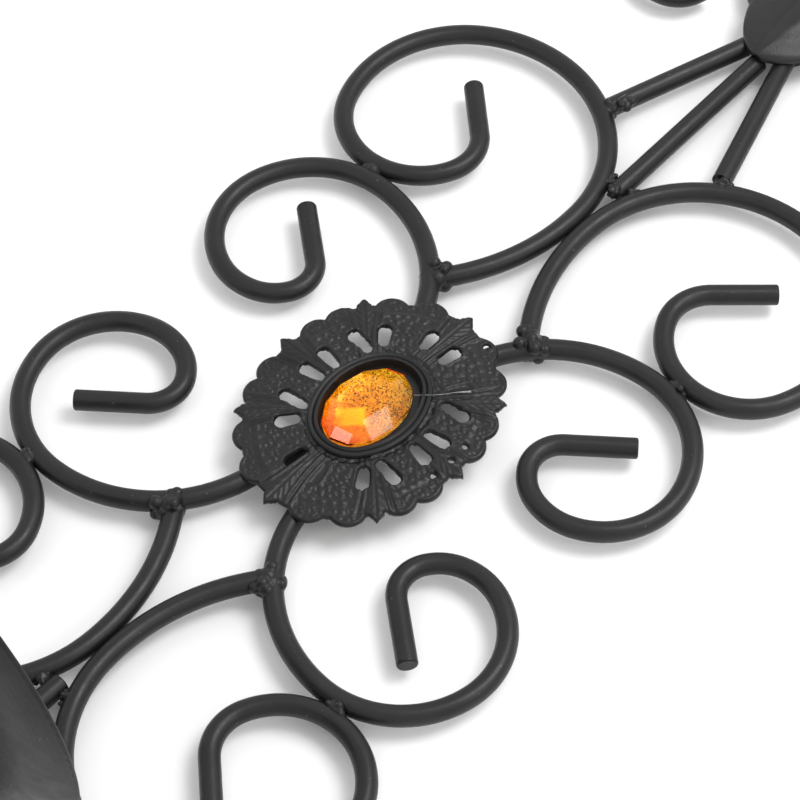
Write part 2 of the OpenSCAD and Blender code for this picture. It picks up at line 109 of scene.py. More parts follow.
# The painted highlight's gold, then painted glows (emission) that stand in for light the facets gather
PAINTED_HIGHLIGHT_GOLD = (1.0, 0.92, 0.16)
LOWER_GLOW, UPPER_GLOW, PAINTED_HIGHLIGHT_GLOW = (0.30, 0.075, 0.0), (0.10, 0.05, 0.0), (0.55, 0.38, 0.0)
AMBER_LOWER, AMBER_MIDDLE, AMBER_UPPER = (1.0, 0.36, 0.03), (1.0, 0.74, 0.14), (1.0, 0.94, 0.36)
AMBER_CLOUD, AMBER_DEPTH = (1.0, 0.80, 0.20), (1.0, 0.55, 0.03)
GLUE_DARK, GLUE_LIGHT = (0.24, 0.24, 0.25), (0.42, 0.42, 0.42)
PALE_DARK, PALE_LIGHT = (0.93, 0.93, 0.933), (0.96, 0.96, 0.963)


class Shader:
    """A node material with short ways to add and link nodes."""

    def __init__(self, name):
        self.material = bpy.data.materials.new(name)
        self.material.use_nodes = True
        self.tree = self.material.node_tree
        self.surface = self.tree.nodes["Principled BSDF"]
        self.output = self.tree.nodes["Material Output"]

    def node(self, kind, **settings):
        n = self.tree.nodes.new(kind)
        for key, value in settings.items():
            setattr(n, key, value)
        return n

    def link(self, a, b):
        self.tree.links.new(a, b)

    def place(self):
        """Object coordinates in metres."""
        return self.node("ShaderNodeTexCoord").outputs["Object"]

    def noise(self, where, per_metre, detail=2.0, rough=0.5):
        n = self.node("ShaderNodeTexNoise")
        n.inputs["Scale"].default_value = per_metre
        n.inputs["Detail"].default_value = detail
        n.inputs["Roughness"].default_value = rough
        self.link(where, n.inputs["Vector"])
        return n.outputs["Fac"]

    def ramp(self, value, *stops):
        """A colour ramp through (place, colour) stops."""
        n = self.node("ShaderNodeValToRGB")
        while len(n.color_ramp.elements) < len(stops):
            n.color_ramp.elements.new(0.5)
        for element, (at, colour) in zip(n.color_ramp.elements, stops):
            element.position = at
            element.color = (*colour, 1)
        self.link(value, n.inputs["Fac"])
        return n.outputs["Color"]

    def between(self, value, low, high, at_low=0.0, at_high=1.0):
        n = self.node("ShaderNodeMapRange", clamp=True)
        for key, number in (("From Min", low), ("From Max", high), ("To Min", at_low), ("To Max", at_high)):
            n.inputs[key].default_value = number
        self.link(value, n.inputs["Value"])
        return n.outputs["Result"]

    def mix(self, share, a, b):
        n = self.node("ShaderNodeMix", data_type="RGBA")
        self.link(share, n.inputs["Factor"])
        for socket, colour in ((n.inputs["A"], a), (n.inputs["B"], b)):
            if isinstance(colour, tuple):
                socket.default_value = (*colour, 1)
            else:
                self.link(colour, socket)
        return n.outputs["Result"]

    def bump(self, height, depth, strength=1.0, normal=None):
        n = self.node("ShaderNodeBump")
        n.inputs["Strength"].default_value = strength
        n.inputs["Distance"].default_value = depth
        self.link(height, n.inputs["Height"])
        if normal is not None:
            self.link(normal, n.inputs["Normal"])
        return n.outputs["Normal"]


def powder_coat(name="black_powder_coat", grain=1.0, gloss=0.34):
    """Satin black powder coat: a fine orange peel, cloudy gloss and a few specks of dust."""
    s = Shader(name)
    where = s.place()
    cloud = s.noise(where, per_metre=90, detail=3)
    tint = s.ramp(cloud, (0.3, COAT_DARK), (0.7, COAT_LIGHT))
    dust = s.between(s.noise(where, per_metre=1500, detail=1), low=0.76, high=0.80)
    s.link(s.mix(dust, tint, DUST), s.surface.inputs["Base Color"])
    gloss_cloud = s.noise(where, per_metre=260, detail=3)
    roughness = s.between(gloss_cloud, low=0.3, high=0.7, at_low=0.33, at_high=0.45)
    s.link(roughness, s.surface.inputs["Roughness"])
    peel = s.bump(s.noise(where, per_metre=1900 * grain), depth=0.00006, strength=0.55)
    dents = s.bump(s.noise(where, per_metre=170), depth=0.0003, strength=0.35, normal=peel)
    s.link(dents, s.surface.inputs["Normal"])
    s.surface.inputs["Specular IOR Level"].default_value = gloss
    return s.material


def zinc_steel():
    """Zinc-plated steel with fine turning marks and a cloudy gloss."""
    s = Shader("zinc_steel")
    where = s.place()
    cloud = s.noise(where, per_metre=900, detail=3)
    tint = s.ramp(cloud, (0.3, ZINC_DARK), (0.7, ZINC_LIGHT))
    s.link(tint, s.surface.inputs["Base Color"])
    s.surface.inputs["Metallic"].default_value = 1.0
    gloss_cloud = s.noise(where, per_metre=1400)
    roughness = s.between(gloss_cloud, low=0.3, high=0.7, at_low=0.28, at_high=0.45)
    s.link(roughness, s.surface.inputs["Roughness"])
    marks = s.bump(s.noise(where, per_metre=2600), depth=0.00003, strength=0.6)
    s.link(marks, s.surface.inputs["Normal"])
    return s.material


def gold_foil():
    """Crinkled gold foil with dark specks, seen through the stone, with a painted highlight on one patch and
    a painted glow.
    """
    s = Shader("gold_foil")
    where = s.place()
    crinkle = s.noise(where, per_metre=1100, detail=3, rough=0.6)
    gold = s.ramp(crinkle, (0.35, GOLD_DEEP), (0.60, GOLD_BRIGHT))
    low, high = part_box("stone")
    apart = s.node("ShaderNodeSeparateXYZ")
    s.link(where, apart.inputs[0])
    # Specks start 0.22 of the way up the stone and are full from 0.48 on
    specks_start, specks_full = (low.z + share * (high.z - low.z) for share in (0.22, 0.48))
    upper = s.between(apart.outputs["Z"], specks_start, specks_full)
    fine = s.noise(where, per_metre=2500)
    grain = s.between(fine, low=0.42, high=0.48, at_low=0.95, at_high=0.0)
    specks = s.node("ShaderNodeMath", operation="MULTIPLY")
    s.link(grain, specks.inputs[0])
    s.link(upper, specks.inputs[1])
    specked = s.mix(specks.outputs[0], gold, SPECK)
    off_painted_highlight = s.node("ShaderNodeVectorMath", operation="SUBTRACT")
    s.link(where, off_painted_highlight.inputs[0])
    off_painted_highlight.inputs[1].default_value = (low + high) / 2 + Vector(PAINTED_HIGHLIGHT) * MM
    reach = s.node("ShaderNodeMath", operation="MAXIMUM")
    for socket, (half_size, way) in zip(reach.inputs, PAINTED_HIGHLIGHT_SIDES):
        side = s.node("ShaderNodeVectorMath", operation="DOT_PRODUCT")
        s.link(off_painted_highlight.outputs[0], side.inputs[0])
        side.inputs[1].default_value = [part / (half_size * MM) for part in way]
        size = s.node("ShaderNodeMath", operation="ABSOLUTE")
        s.link(side.outputs["Value"], size.inputs[0])
        s.link(size.outputs[0], socket)
    # The painted highlight: one patch of brighter gold with a stronger glow, fading out past its edges
    painted_highlight_share = s.between(reach.outputs[0], low=0.72, high=1.1, at_low=1.0, at_high=0.0)
    s.link(s.mix(painted_highlight_share, specked, PAINTED_HIGHLIGHT_GOLD), s.surface.inputs["Base Color"])
    # A weak glow is painted light that stands in for light the facets gather: strong on the painted
    # highlight, red-orange low down
    glow = s.mix(upper, LOWER_GLOW, UPPER_GLOW)
    s.link(s.mix(painted_highlight_share, glow, PAINTED_HIGHLIGHT_GLOW), s.surface.inputs["Emission Color"])
    s.surface.inputs["Emission Strength"].default_value = 1.0
    s.surface.inputs["Metallic"].default_value = 0.75
    s.surface.inputs["Roughness"].default_value = 0.38
    s.link(s.bump(crinkle, depth=0.0003), s.surface.inputs["Normal"])
    return s.material


def amber():
    """Clear amber glass, its colour golden at its top and orange-red towards its lower end: painted light
    and shade.
    """
    s = Shader("amber_stone")
    where = s.place()
    apart = s.node("ShaderNodeSeparateXYZ")
    s.link(where, apart.inputs[0])
    low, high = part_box("stone")
    end = s.between(apart.outputs["Z"], low.z, high.z)
    # Painted light and shade: the glass's tint runs from orange-red at the lower end to pale gold at the top
    tint = s.ramp(end, (0.0, AMBER_LOWER), (0.35, AMBER_MIDDLE), (0.9, AMBER_UPPER))
    cloud = s.between(s.noise(where, per_metre=260), low=0.35, high=0.65)
    share = s.node("ShaderNodeMath", operation="MULTIPLY")
    s.link(cloud, share.inputs[0])
    share.inputs[1].default_value = 0.4
    s.link(s.mix(share.outputs[0], tint, AMBER_CLOUD), s.surface.inputs["Base Color"])
    s.surface.inputs["Roughness"].default_value = 0.0
    s.surface.inputs["IOR"].default_value = 1.44
    s.surface.inputs["Transmission Weight"].default_value = 1.0
    depth = s.node("ShaderNodeVolumeAbsorption")
    depth.inputs["Color"].default_value = (*AMBER_DEPTH, 1)
    depth.inputs["Density"].default_value = 90.0
    s.link(depth.outputs["Volume"], s.output.inputs["Volume"])
    return s.material


def clear_glue():
    """Hardened clear glue, a little milky."""
    s = Shader("clear_glue")
    s.link(
        s.ramp(s.noise(s.place(), per_metre=700), (0.3, GLUE_DARK), (0.7, GLUE_LIGHT)),
        s.surface.inputs["Base Color"],
    )
    s.surface.inputs["Roughness"].default_value = 0.18
    s.surface.inputs["Transmission Weight"].default_value = 0.35
    return s.material


def paper():
    """The pale surface behind the sconce; seen from behind it isn't there."""
    s = Shader("pale_surface")
    s.link(
        s.ramp(s.noise(s.place(), per_metre=9), (0.3, PALE_DARK), (0.7, PALE_LIGHT)),
        s.surface.inputs["Base Color"],
    )
    s.surface.inputs["Roughness"].default_value = 0.8
    clear = s.node("ShaderNodeBsdfTransparent")
    either = s.node("ShaderNodeMixShader")
    s.link(s.node("ShaderNodeNewGeometry").outputs["Backfacing"], either.inputs[0])
    s.link(s.surface.outputs[0], either.inputs[1])
    s.link(clear.outputs[0], either.inputs[2])
    s.link(either.outputs[0], s.output.inputs["Surface"])
    return s.material


# ---- Meshes ----

def piece(name, points, faces, material, stands_for, smooth=True):
    """A mesh piece that rides on the body and stands for a CAD node. Points are in metres."""
    mesh = bpy.data.meshes.new(name)
    mesh.from_pydata(points, [], faces)
    mesh.validate()
    mesh.polygons.foreach_set("use_smooth", [smooth] * len(mesh.polygons))
    mesh.materials.append(material)
    mesh.update()
    obj = bpy.data.objects.new(name, mesh)
    bpy.context.collection.objects.link(obj)
    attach(obj, BODY)
    if stands_for:
        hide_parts(stands_for)
    return obj


def smooth_step(low, high, value):
    t = np.clip((value - low) / (high - low), 0, 1)
    return t * t * (3 - 2 * t)


def ridge(value, at, half_width):
    """A rounded ridge of height 1 where the value is `at`."""
    return np.exp(-(((value - at) / half_width) ** 2))


# ---- Medallion ----

# Its outline and holes, in mm and degrees. They are the CAD medallion's, but for petal holes that are
# 0.2 mm longer and taper, two petals left unpierced, and the pinholes, which the CAD doesn't have.
MEDAL_HALF = (26.5, 32.9)
CUP_OPENING = (11.4, 14.9)
LOBE_CENTRE = (23.9, 30.3)
LOBE_RADIUS = 4.6
LOBE_TURNS = (14, 27, 51, 71)
LEAF_TURNS = (0, 90, 180, 270, 38, 142, 218, 322)
TIP_REACH = 2.4
TIP_CORNERS = ((-4, -2.6), (0.4, -1.8), (TIP_REACH, 0), (0.4, 1.8), (-4, 2.6))
# Petal holes: turn, length, and tilt off the outward direction
PETALS = ((7, 6.6, 0), (30, 7.6, -30), (46, 6.2, 0), (79, 6.2, 0))
PETAL_OVAL = (17.0, 22.5)
PETAL_SHIFT = (0.5, 0.7)
# Radii of a petal's inner and outer end
PETAL_ENDS = (1.3, 1.6)
# Two petals, left of the lower leaf and under the upper right one, were stamped but not pierced
BLIND_PETALS = (281, 46)
PINHOLES = ((7.9, 31.2), (23.3, 6.6), (24.0, 1.3), (23.5, -4.2))
PINHOLE_RADIUS = 0.75
MEDAL_THICKNESS = 0.75
DOME_RADIUS = 416.1
DOME_CREST = 4.8
WIRE_GAP = 0.06
# Half sizes of the ovals that the stamped leaves and the groove round the bezel start from
LEAF_FOOT_OVAL = (12.6, 16.2)
GROOVE_OVAL = (12.6, 16.1)

# The stamped leaves: half width at the foot and its growth, and the depths of midrib and veins
FOOT_HALF, FOOT_GROWTH = 0.8, 2.2
MIDRIB_DEPTH, MIDRIB_HALF = 0.4, 0.3
VEIN_DEPTH, VEIN_PITCH, VEIN_SLANT = 0.2, 1.9, 1.4
# Two strands at each side of a leaf: distance off its middle line, spread, half width and height
STRANDS = ((1.5, 2.6, 0.62, 0.85), (2.7, 3.4, 0.5, 0.6))
# Raised rims round the petals: distance out, half width and height, the second beside leaves only
RIM, OUTER_RIM = (0.55, 0.38, 0.5), (1.5, 0.3, 0.75)
# Grains between the leaves: pitch, radius and height
GRAPES, BEADS = (1.16, 0.54, 0.34), (1.12, 0.44, 0.22)
ROW_SHARE = 0.866
GRAIN_WOBBLE = 0.3
GRAIN_SPREAD = 0.35
# Garland: share of the way out, half width, height and number of its notches
GARLAND_SHARE, GARLAND_HALF, GARLAND_HEIGHT, GARLAND_NOTCHES = 0.875, 0.8, 0.45, 72
MEAN_HALF = 29
BLIND_DEPTH = 0.4
EDGE_BEAD = (0.6, 0.3, 0.22)
BEZEL_GROOVE = (0.7, 0.5, 0.3)
SINK = 0.2
ROLL_WIDTH, ROLL_DEPTH = 0.45, 0.4

# Pitch of the sheet's grid, the step that probes the outline's slope, the least slope that divides a
# step, and how far an edge point may move
GRID = 0.27
PROBE = 0.02
SLOPE_FLOOR = 0.05
EDGE_LIMIT = 0.8 * GRID


def oval(half, turn):
    return half[0] * math.cos(math.radians(turn)), half[1] * math.sin(math.radians(turn))


def inside_oval(a, b, half):
    """Distance inside an oval, negative outside."""
    k = np.hypot(a / half[0], b / half[1])
    slope = np.hypot(a / half[0] ** 2, b / half[1] ** 2) + 1e-9
    return k * (1 - k) / slope


def mirrored(turn):
    """The four turns of a feature mirrored over both axes, with the sign its tilt takes in each."""
    return ((turn, 1), (180 - turn, -1), (180 + turn, 1), (360 - turn, -1))


def along(a, b, middle_at, direction):
    """Coordinates along and across a direction, from a middle."""
    c, s = math.cos(direction), math.sin(direction)
    x, y = a - middle_at[0], b - middle_at[1]
    return x * c + y * s, y * c - x * s


def petal_list():
    """Every petal as (turn, middle, direction, length)."""
    found = []
    for turn, length, tilt in PETALS:
        for t, side in mirrored(turn):
            a, b = oval(PETAL_OVAL, t)
            direction = math.atan2(b, a) + math.radians(tilt * side)
            found.append((t, (a + PETAL_SHIFT[0], b + PETAL_SHIFT[1]), direction, length))
    return found


def outside_petal(a, b, petal):
    """Distance outside a petal's edge, and its place along the petal from 0 to 1."""
    at, direction, length = petal[1:]
    run = length - sum(PETAL_ENDS)
    x, y = along(a, b, at, direction)
    share = np.clip(x / run + 0.5, 0, 1)
    width = PETAL_ENDS[0] + (PETAL_ENDS[1] - PETAL_ENDS[0]) * share
    return np.hypot(x - (share - 0.5) * run, y) - width


def leaf_frame(a, b, turn):
    """Share of the way from the bezel to a leaf's tip, and the distance off the leaf's middle line."""
    at = oval(MEDAL_HALF, turn)
    direction = math.atan2(at[1], at[0])
    x, y = along(a, b, (0, 0), direction)
    start = math.hypot(*oval(LEAF_FOOT_OVAL, turn))
    return (x - start) / (math.hypot(*at) + TIP_REACH - start), y, x


def inside_outline(a, b):
    """Distance inside the medallion's outer edge."""
    inside = inside_oval(a, b, MEDAL_HALF)
    for turn in LOBE_TURNS:
        for t, _ in mirrored(turn):
            at = oval(LOBE_CENTRE, t)
            inside = np.maximum(inside, LOBE_RADIUS - np.hypot(a - at[0], b - at[1]))
    for turn in LEAF_TURNS:
        at = oval(MEDAL_HALF, turn)
        x, y = along(a, b, at, math.atan2(at[1], at[0]))
        tip = None
        corners = TIP_CORNERS + TIP_CORNERS[:1]
        for (x0, y0), (x1, y1) in zip(corners, corners[1:]):
            edge = ((y - y0) * (x1 - x0) - (x - x0) * (y1 - y0)) / math.hypot(x1 - x0, y1 - y0)
            tip = edge if tip is None else np.minimum(tip, edge)
        inside = np.maximum(inside, tip)
    return inside


def inside_medallion(a, b):
    """Distance inside the pierced sheet."""
    inside = np.minimum(inside_outline(a, b), -inside_oval(a, b, CUP_OPENING))
    for petal in petal_list():
        if petal[0] not in BLIND_PETALS:
            inside = np.minimum(inside, outside_petal(a, b, petal))
    for x, y in PINHOLES:
        inside = np.minimum(inside, np.hypot(a - x, b - y) - PINHOLE_RADIUS)
    return inside


def grains(a, b, pitch, radius):
    """A field of round grains on a loose six-sided pattern, each of height 1."""
    height = np.zeros_like(a)
    row_pitch = pitch * ROW_SHARE
    for dr in (-1, 0, 1):
        row = np.round(b / row_pitch) + dr
        offset = (row % 2) * pitch / 2
        for dc in (-1, 0, 1):
            col = np.round((a - offset) / pitch) + dc
            # Large uneven factors make each grain's wobble and size look random
            wobble_a = np.sin(row * 12.9 + col * 78.2) * GRAIN_WOBBLE * pitch
            wobble_b = np.sin(row * 39.3 + col * 11.1) * GRAIN_WOBBLE * pitch
            size = radius * (1 + GRAIN_SPREAD * np.sin(row * 5.1 + col * 3.7))
            off = np.hypot(a - col * pitch - offset - wobble_a, b - row * row_pitch - wobble_b)
            height = np.maximum(height, np.sqrt(np.clip(1 - (off / size) ** 2, 0, 1)))
    return height


def leaf_relief(u, w, d):
    """One stamped leaf with its strands: its height, and the distance its pattern reaches to each side."""
    half = FOOT_HALF + FOOT_GROWTH * smooth_step(0.25, 0.78, u)
    half = half * np.sqrt(np.clip(1 - (np.clip(u - 0.76, 0, 1) / 0.26) ** 2, 0.01, 1))
    across = np.abs(w) / half
    body = np.sqrt(np.clip(1 - across**2, 0, 1)) * (0.6 + 0.4 * smooth_step(0, 0.5, u))
    body -= MIDRIB_DEPTH * ridge(w, 0, MIDRIB_HALF) * (across < 1)
    veins = 0.5 + 0.5 * np.cos(2 * math.pi * (d - VEIN_SLANT * np.abs(w)) / VEIN_PITCH)
    body -= VEIN_DEPTH * veins * (across < 0.95) * smooth_step(0.4, 0.9, np.abs(w))
    # The strands leave the leaf's foot and curl away to its sides
    for off, spread, width, height in STRANDS:
        strand = height * ridge(np.abs(w), off + spread * u**2, width)
        body = np.maximum(body, strand * smooth_step(0.92, 0.7, u) * smooth_step(-0.02, 0.06, u))
    return body, np.maximum(half, np.where(u < 0.85, 2.2 + 2.8 * u**2, 0))


def leaves_relief(a, b):
    """Height of all the stamped leaves, and how near each point is to one, from 0 to 1."""
    leaf = np.zeros_like(a)
    near_leaf = np.zeros_like(a)
    for turn in LEAF_TURNS:
        u, w, d = leaf_frame(a, b, turn)
        on = (u > -0.1) & (u < 1.1)
        body, reach = leaf_relief(u, w, d)
        leaf = np.where(on, np.maximum(leaf, body), leaf)
        near_leaf = np.maximum(near_leaf, np.where(on, smooth_step(1.3, 0.95, np.abs(w) / reach), 0))
    return leaf, near_leaf


def petals_relief(a, b, near_leaf):
    """Height of the rims round the petals, and the hollow of the unpierced ones."""
    rims = np.zeros_like(a)
    blind = np.zeros_like(a)
    for petal in petal_list():
        out = outside_petal(a, b, petal)
        rims = np.maximum(rims, ridge(out, *RIM[:2]))
        rims = np.maximum(rims, OUTER_RIM[2] * ridge(out, *OUTER_RIM[:2]) * near_leaf)
        if petal[0] in BLIND_PETALS:
            blind = np.maximum(blind, smooth_step(0.2, -0.5, out))
    return rims, blind


def relief(a, b, inside):
    """Height of the stamped pattern over the plain dome, in mm."""
    share = np.hypot(a / MEDAL_HALF[0], b / MEDAL_HALF[1])
    edge = inside_outline(a, b)
    leaf, near_leaf = leaves_relief(a, b)
    rims, blind = petals_relief(a, b, near_leaf)
    garland = ridge((share - GARLAND_SHARE) * MEAN_HALF, 0, GARLAND_HALF) * (1 - near_leaf)
    garland *= 0.75 + 0.25 * np.cos(np.arctan2(b, a) * GARLAND_NOTCHES)
    free = (1 - near_leaf) * (1 - np.clip(rims * 1.6, 0, 1)) * (1 - blind)
    grapes = grains(a, b, *GRAPES[:2]) * smooth_step(0.47, 0.52, share) * smooth_step(0.86, 0.82, share)
    beads = grains(a + 0.4, b + 0.3, *BEADS[:2])
    beads = beads * smooth_step(0.91, 0.94, share) * smooth_step(0.7, 1.1, edge)
    bezel_groove = ridge(-inside_oval(a, b, GROOVE_OVAL), *BEZEL_GROOVE[:2])
    height = RIM[2] * rims + GARLAND_HEIGHT * garland + free * (GRAPES[2] * grapes + BEADS[2] * beads)
    height = np.maximum(height - BLIND_DEPTH * blind, leaf)
    height += EDGE_BEAD[2] * ridge(edge, *EDGE_BEAD[:2]) * (1 - near_leaf) - BEZEL_GROOVE[2] * bezel_groove
    # The press left the sheet slightly uneven
    height += 0.07 * np.sin(a * 0.55 + 1) * np.sin(b * 0.47) + 0.04 * np.sin(a * 1.9) * np.sin(b * 2.3 + 1)
    rolled = np.clip(1 - inside / ROLL_WIDTH, 0, 1)
    return height - SINK - ROLL_DEPTH * rolled**2


def medallion(material):
    """The stamped sheet, cut from a fine grid whose edge points are drawn onto the outline."""
    reach_a, reach_b = MEDAL_HALF[0] + 4, MEDAL_HALF[1] + 4
    a, b = np.meshgrid(np.arange(-reach_a, reach_a, GRID), np.arange(-reach_b, reach_b, GRID), indexing="ij")
    middle_inside = inside_medallion(a[:-1, :-1] + GRID / 2, b[:-1, :-1] + GRID / 2)
    cells = middle_inside > 0
    # Cells that touch at a corner only are joined by filling one of their neighbours
    for _ in range(3):
        p, q, r, s = cells[:-1, :-1], cells[1:, 1:], cells[1:, :-1], cells[:-1, 1:]
        corner = (p & q & ~r & ~s) | (~p & ~q & r & s)
        i, j = np.nonzero(corner)
        for di in (0, 1):
            cells[i + di, j] = True
    used = np.zeros(a.shape, bool)
    for di in (0, 1):
        for dj in (0, 1):
            used[di : di + cells.shape[0], dj : dj + cells.shape[1]] |= cells
    whole = np.ones(a.shape, bool)
    whole[0, :] = whole[-1, :] = whole[:, 0] = whole[:, -1] = False
    whole[1:-1, 1:-1] = cells[:-1, :-1] & cells[1:, :-1] & cells[:-1, 1:] & cells[1:, 1:]
    rim = used & ~whole
    ra, rb = a[rim], b[rim]
    for _ in range(3):
        value = inside_medallion(ra, rb)
        slope_a = (inside_medallion(ra + PROBE, rb) - value) / PROBE
        slope_b = (inside_medallion(ra, rb + PROBE) - value) / PROBE
        step = np.clip(value, -GRID / 2, GRID / 2) / (slope_a**2 + slope_b**2 + SLOPE_FLOOR)
        ra = ra - step * slope_a
        rb = rb - step * slope_b
    a[rim] += np.clip(ra - a[rim], -EDGE_LIMIT, EDGE_LIMIT)
    b[rim] += np.clip(rb - b[rim], -EDGE_LIMIT, EDGE_LIMIT)
    a, b = a[used], b[used]
    number = np.full(used.shape, -1)
    number[used] = np.arange(len(a))
    inside = np.maximum(inside_medallion(a, b), 0)
    dome = DOME_CREST - DOME_RADIUS + np.sqrt(DOME_RADIUS**2 - a**2 - b**2)
    front = dome + relief(a, b, inside)
    back = np.maximum(front - MEDAL_THICKNESS, wire_r / MM + WIRE_GAP)
    i, j = np.nonzero(cells)
    quads = np.stack([number[i, j], number[i + 1, j], number[i + 1, j + 1], number[i, j + 1]], 1)
    count = len(a)
    sides = np.concatenate([quads[:, [k, (k + 1) % 4]] for k in range(4)])
    keys = sides[:, 0] * count + sides[:, 1]
    alone = sides[~np.isin(sides[:, 1] * count + sides[:, 0], keys)]
    walls = np.stack([alone[:, 1], alone[:, 0], alone[:, 0] + count, alone[:, 1] + count], 1)
    faces = np.concatenate([quads, quads[:, ::-1] + count, walls])
    centre = middle("medallion")
    points = np.empty((2 * count, 3))
    points[:, 0] = np.tile(centre.x + a * MM, 2)
    points[:, 1] = wire_plane_y - np.concatenate([front, back]) * MM
    points[:, 2] = np.tile(centre.z + b * MM, 2)
    piece("medallion_stamping", points.tolist(), faces.tolist(), material, "medallion")


# ---- Leaf ----

# The CAD leaf's form, in mm: an egg drawn out to a point, with a groove down its ridge
LEAF_RISE = 4.5
LEAF_GROOVE = 0.55
GROOVE_SHARE = 0.13
LEAF_SHEET = 1.2
LEAF_START = 0.003
LEAF_SHARE = 0.982
LEAF_WIDEST = 0.35
LEAF_GAP = 0.2
TIP_NOD = 5
BASE_POWER, POINT_POWER, ARCH_POWER = 0.6, 0.8, 1.3
LEAF_ROWS, LEAF_COLS = 150, 128
# Rows crowd towards the base, whose outline turns fastest
ROW_POWER = 1.5
LEAF_VEINS, LEAF_VEIN_SLANT, LEAF_VEIN_DEPTH = 9, 1.4, 0.1


def leaf(material):
    """The pressed leaf: the CAD leaf's form on a fine grid, with faint veins and a rolled edge."""
    low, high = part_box("leaf")
    length = (high.z - low.z) / LEAF_SHARE
    base = low.z - LEAF_START * length
    half = (high.x - low.x) / 2
    u = (np.linspace(0, 1, LEAF_ROWS + 1)[:, None] ** ROW_POWER) * LEAF_SHARE + LEAF_START
    v = np.linspace(-1, 1, LEAF_COLS + 1)[None, :]
    round_end = np.clip(1 - (1 - u / LEAF_WIDEST) ** 2, 0, 1) ** BASE_POWER
    past_widest = np.clip((u - LEAF_WIDEST) / (1 - LEAF_WIDEST), 0, 1)
    point_end = np.cos(past_widest * math.pi / 2) ** POINT_POWER
    spread = half * np.where(u < LEAF_WIDEST, round_end, point_end)
    swell = LEAF_RISE * (1 - np.abs(v) ** ARCH_POWER) - LEAF_GROOVE * np.exp(-((v / GROOVE_SHARE) ** 2))
    rise = swell * np.sqrt(np.sin(u * math.pi) + 0.01) + TIP_NOD * u * u
    veins = 0.5 + 0.5 * np.cos(2 * math.pi * (u * LEAF_VEINS - np.abs(v) * LEAF_VEIN_SLANT))
    fade = smooth_step(0.1, 0.3, np.abs(v)) * smooth_step(1, 0.75, np.abs(v))
    rise = rise - LEAF_VEIN_DEPTH * veins * fade
    thick = LEAF_SHEET * np.sqrt(np.clip(1 - np.abs(v) ** 8, 0.05, 1)) + 0 * u
    back_y = wire_plane_y - wire_r - LEAF_GAP * MM - rise * MM
    x = np.broadcast_to(middle("leaf").x + spread * v, back_y.shape)
    z = np.broadcast_to(base + length * u, back_y.shape)
    count = x.size
    points = np.empty((2 * count, 3))
    points[:, 0] = np.tile(x.ravel(), 2)
    points[:, 1] = np.concatenate([(back_y - thick * MM).ravel(), back_y.ravel()])
    points[:, 2] = np.tile(z.ravel(), 2)
    number = np.arange(count).reshape(LEAF_ROWS + 1, LEAF_COLS + 1)
    quads = np.stack([number[:-1, :-1], number[:-1, 1:], number[1:, 1:], number[1:, :-1]], -1)
    quads = quads.reshape(-1, 4)
    rim = np.concatenate([number[0, :], number[1:, -1], number[-1, -2::-1], number[-2:0:-1, 0]])
    after = np.roll(rim, -1)
    walls = np.stack([after, rim, rim + count, after + count], 1)
    faces = np.concatenate([quads, quads[:, ::-1] + count, walls])
    piece("leaf_pressing", points.tolist(), faces.tolist(), material, "leaf")


# ---- Welds ----

# Drops in a bead, and how many of them fill its core; their places and sizes are shares of its radius
DROPS, CORE_DROPS = 26, 6
CORE_OFF, OUTER_OFF = (0.2, 0.45), (0.55, 1.0)
CORE_SIZE, OUTER_SIZE = (0.6, 0.75), (0.3, 0.46)
DROP_FLATNESS = 0.75
BUTT_WELD_R = 3
BUTT_WELD_SPREAD = 1.3
WELD_VOXEL = 0.24
# A part of the beads' mesh with no more corners than this isn't a bead
FEWEST_CORNERS = 20

def islands(node):
    """Middle and radius of each separate part of a CAD node's mesh."""
    work = bmesh.new()
    work.from_mesh(frame["nodes"][node].data)
    left = set(work.verts)
    found = []
    while left:
        stack = [left.pop()]
        part = []
        while stack:
            vert = stack.pop()
            part.append(vert.co.copy())
            for edge in vert.link_edges:
                other = edge.other_vert(vert)
                if other in left:
                    left.remove(other)
                    stack.append(other)
        if len(part) > FEWEST_CORNERS:
            low = Vector([min(p[k] for p in part) for k in range(3)])
            high = Vector([max(p[k] for p in part) for k in range(3)])
            found.append(((low + high) / 2, max(high - low) / 2))
    work.free()
    return sorted(found, key=lambda bead: (bead[0].z, bead[0].x))


def welds(material):
    """Each CAD bead as a lump of run-together drops, with a little spatter round it."""
    drops = bmesh.new()
    draw = random.Random(4)
    for centre, radius in islands("weld_beads"):
        # The widest welds in the wire plane join the scrolls' butt ends, and run out over both wires
        if radius > BUTT_WELD_R * MM and abs(centre.y - wire_plane_y) < 0.5 * MM:
            radius *= BUTT_WELD_SPREAD
        for k in range(DROPS):
            core = k < CORE_DROPS
            way = Vector((draw.gauss(0, 1), DROP_FLATNESS * draw.gauss(0, 1), draw.gauss(0, 1)))
            way.normalize()
            off = radius * draw.uniform(*(CORE_OFF if core else OUTER_OFF))
            size = radius * draw.uniform(*(CORE_SIZE if core else OUTER_SIZE))
            bmesh.ops.create_icosphere(drops, subdivisions=2, radius=size,
                                       matrix=Matrix.Translation(centre + way * off))
    mesh = bpy.data.meshes.new("weld_drops")
    drops.to_mesh(mesh)
    drops.free()
    work = bpy.data.objects.new("weld_drops", mesh)
    bpy.context.collection.objects.link(work)
    joined = work.modifiers.new("joined", "REMESH")
    joined.mode = "VOXEL"
    joined.voxel_size = WELD_VOXEL * MM
    eased = work.modifiers.new("eased", "SMOOTH")
    eased.factor = 0.5
    eased.iterations = 5
    bpy.context.view_layer.update()
    result = bpy.data.meshes.new_from_object(work.evaluated_get(bpy.context.evaluated_depsgraph_get()))
    bpy.data.objects.remove(work)
    points = [tuple(v.co) for v in result.vertices]
    faces = [tuple(p.vertices) for p in result.polygons]
    piece("weld_lumps", points, faces, material, "weld_beads")


# ---- Stone ----

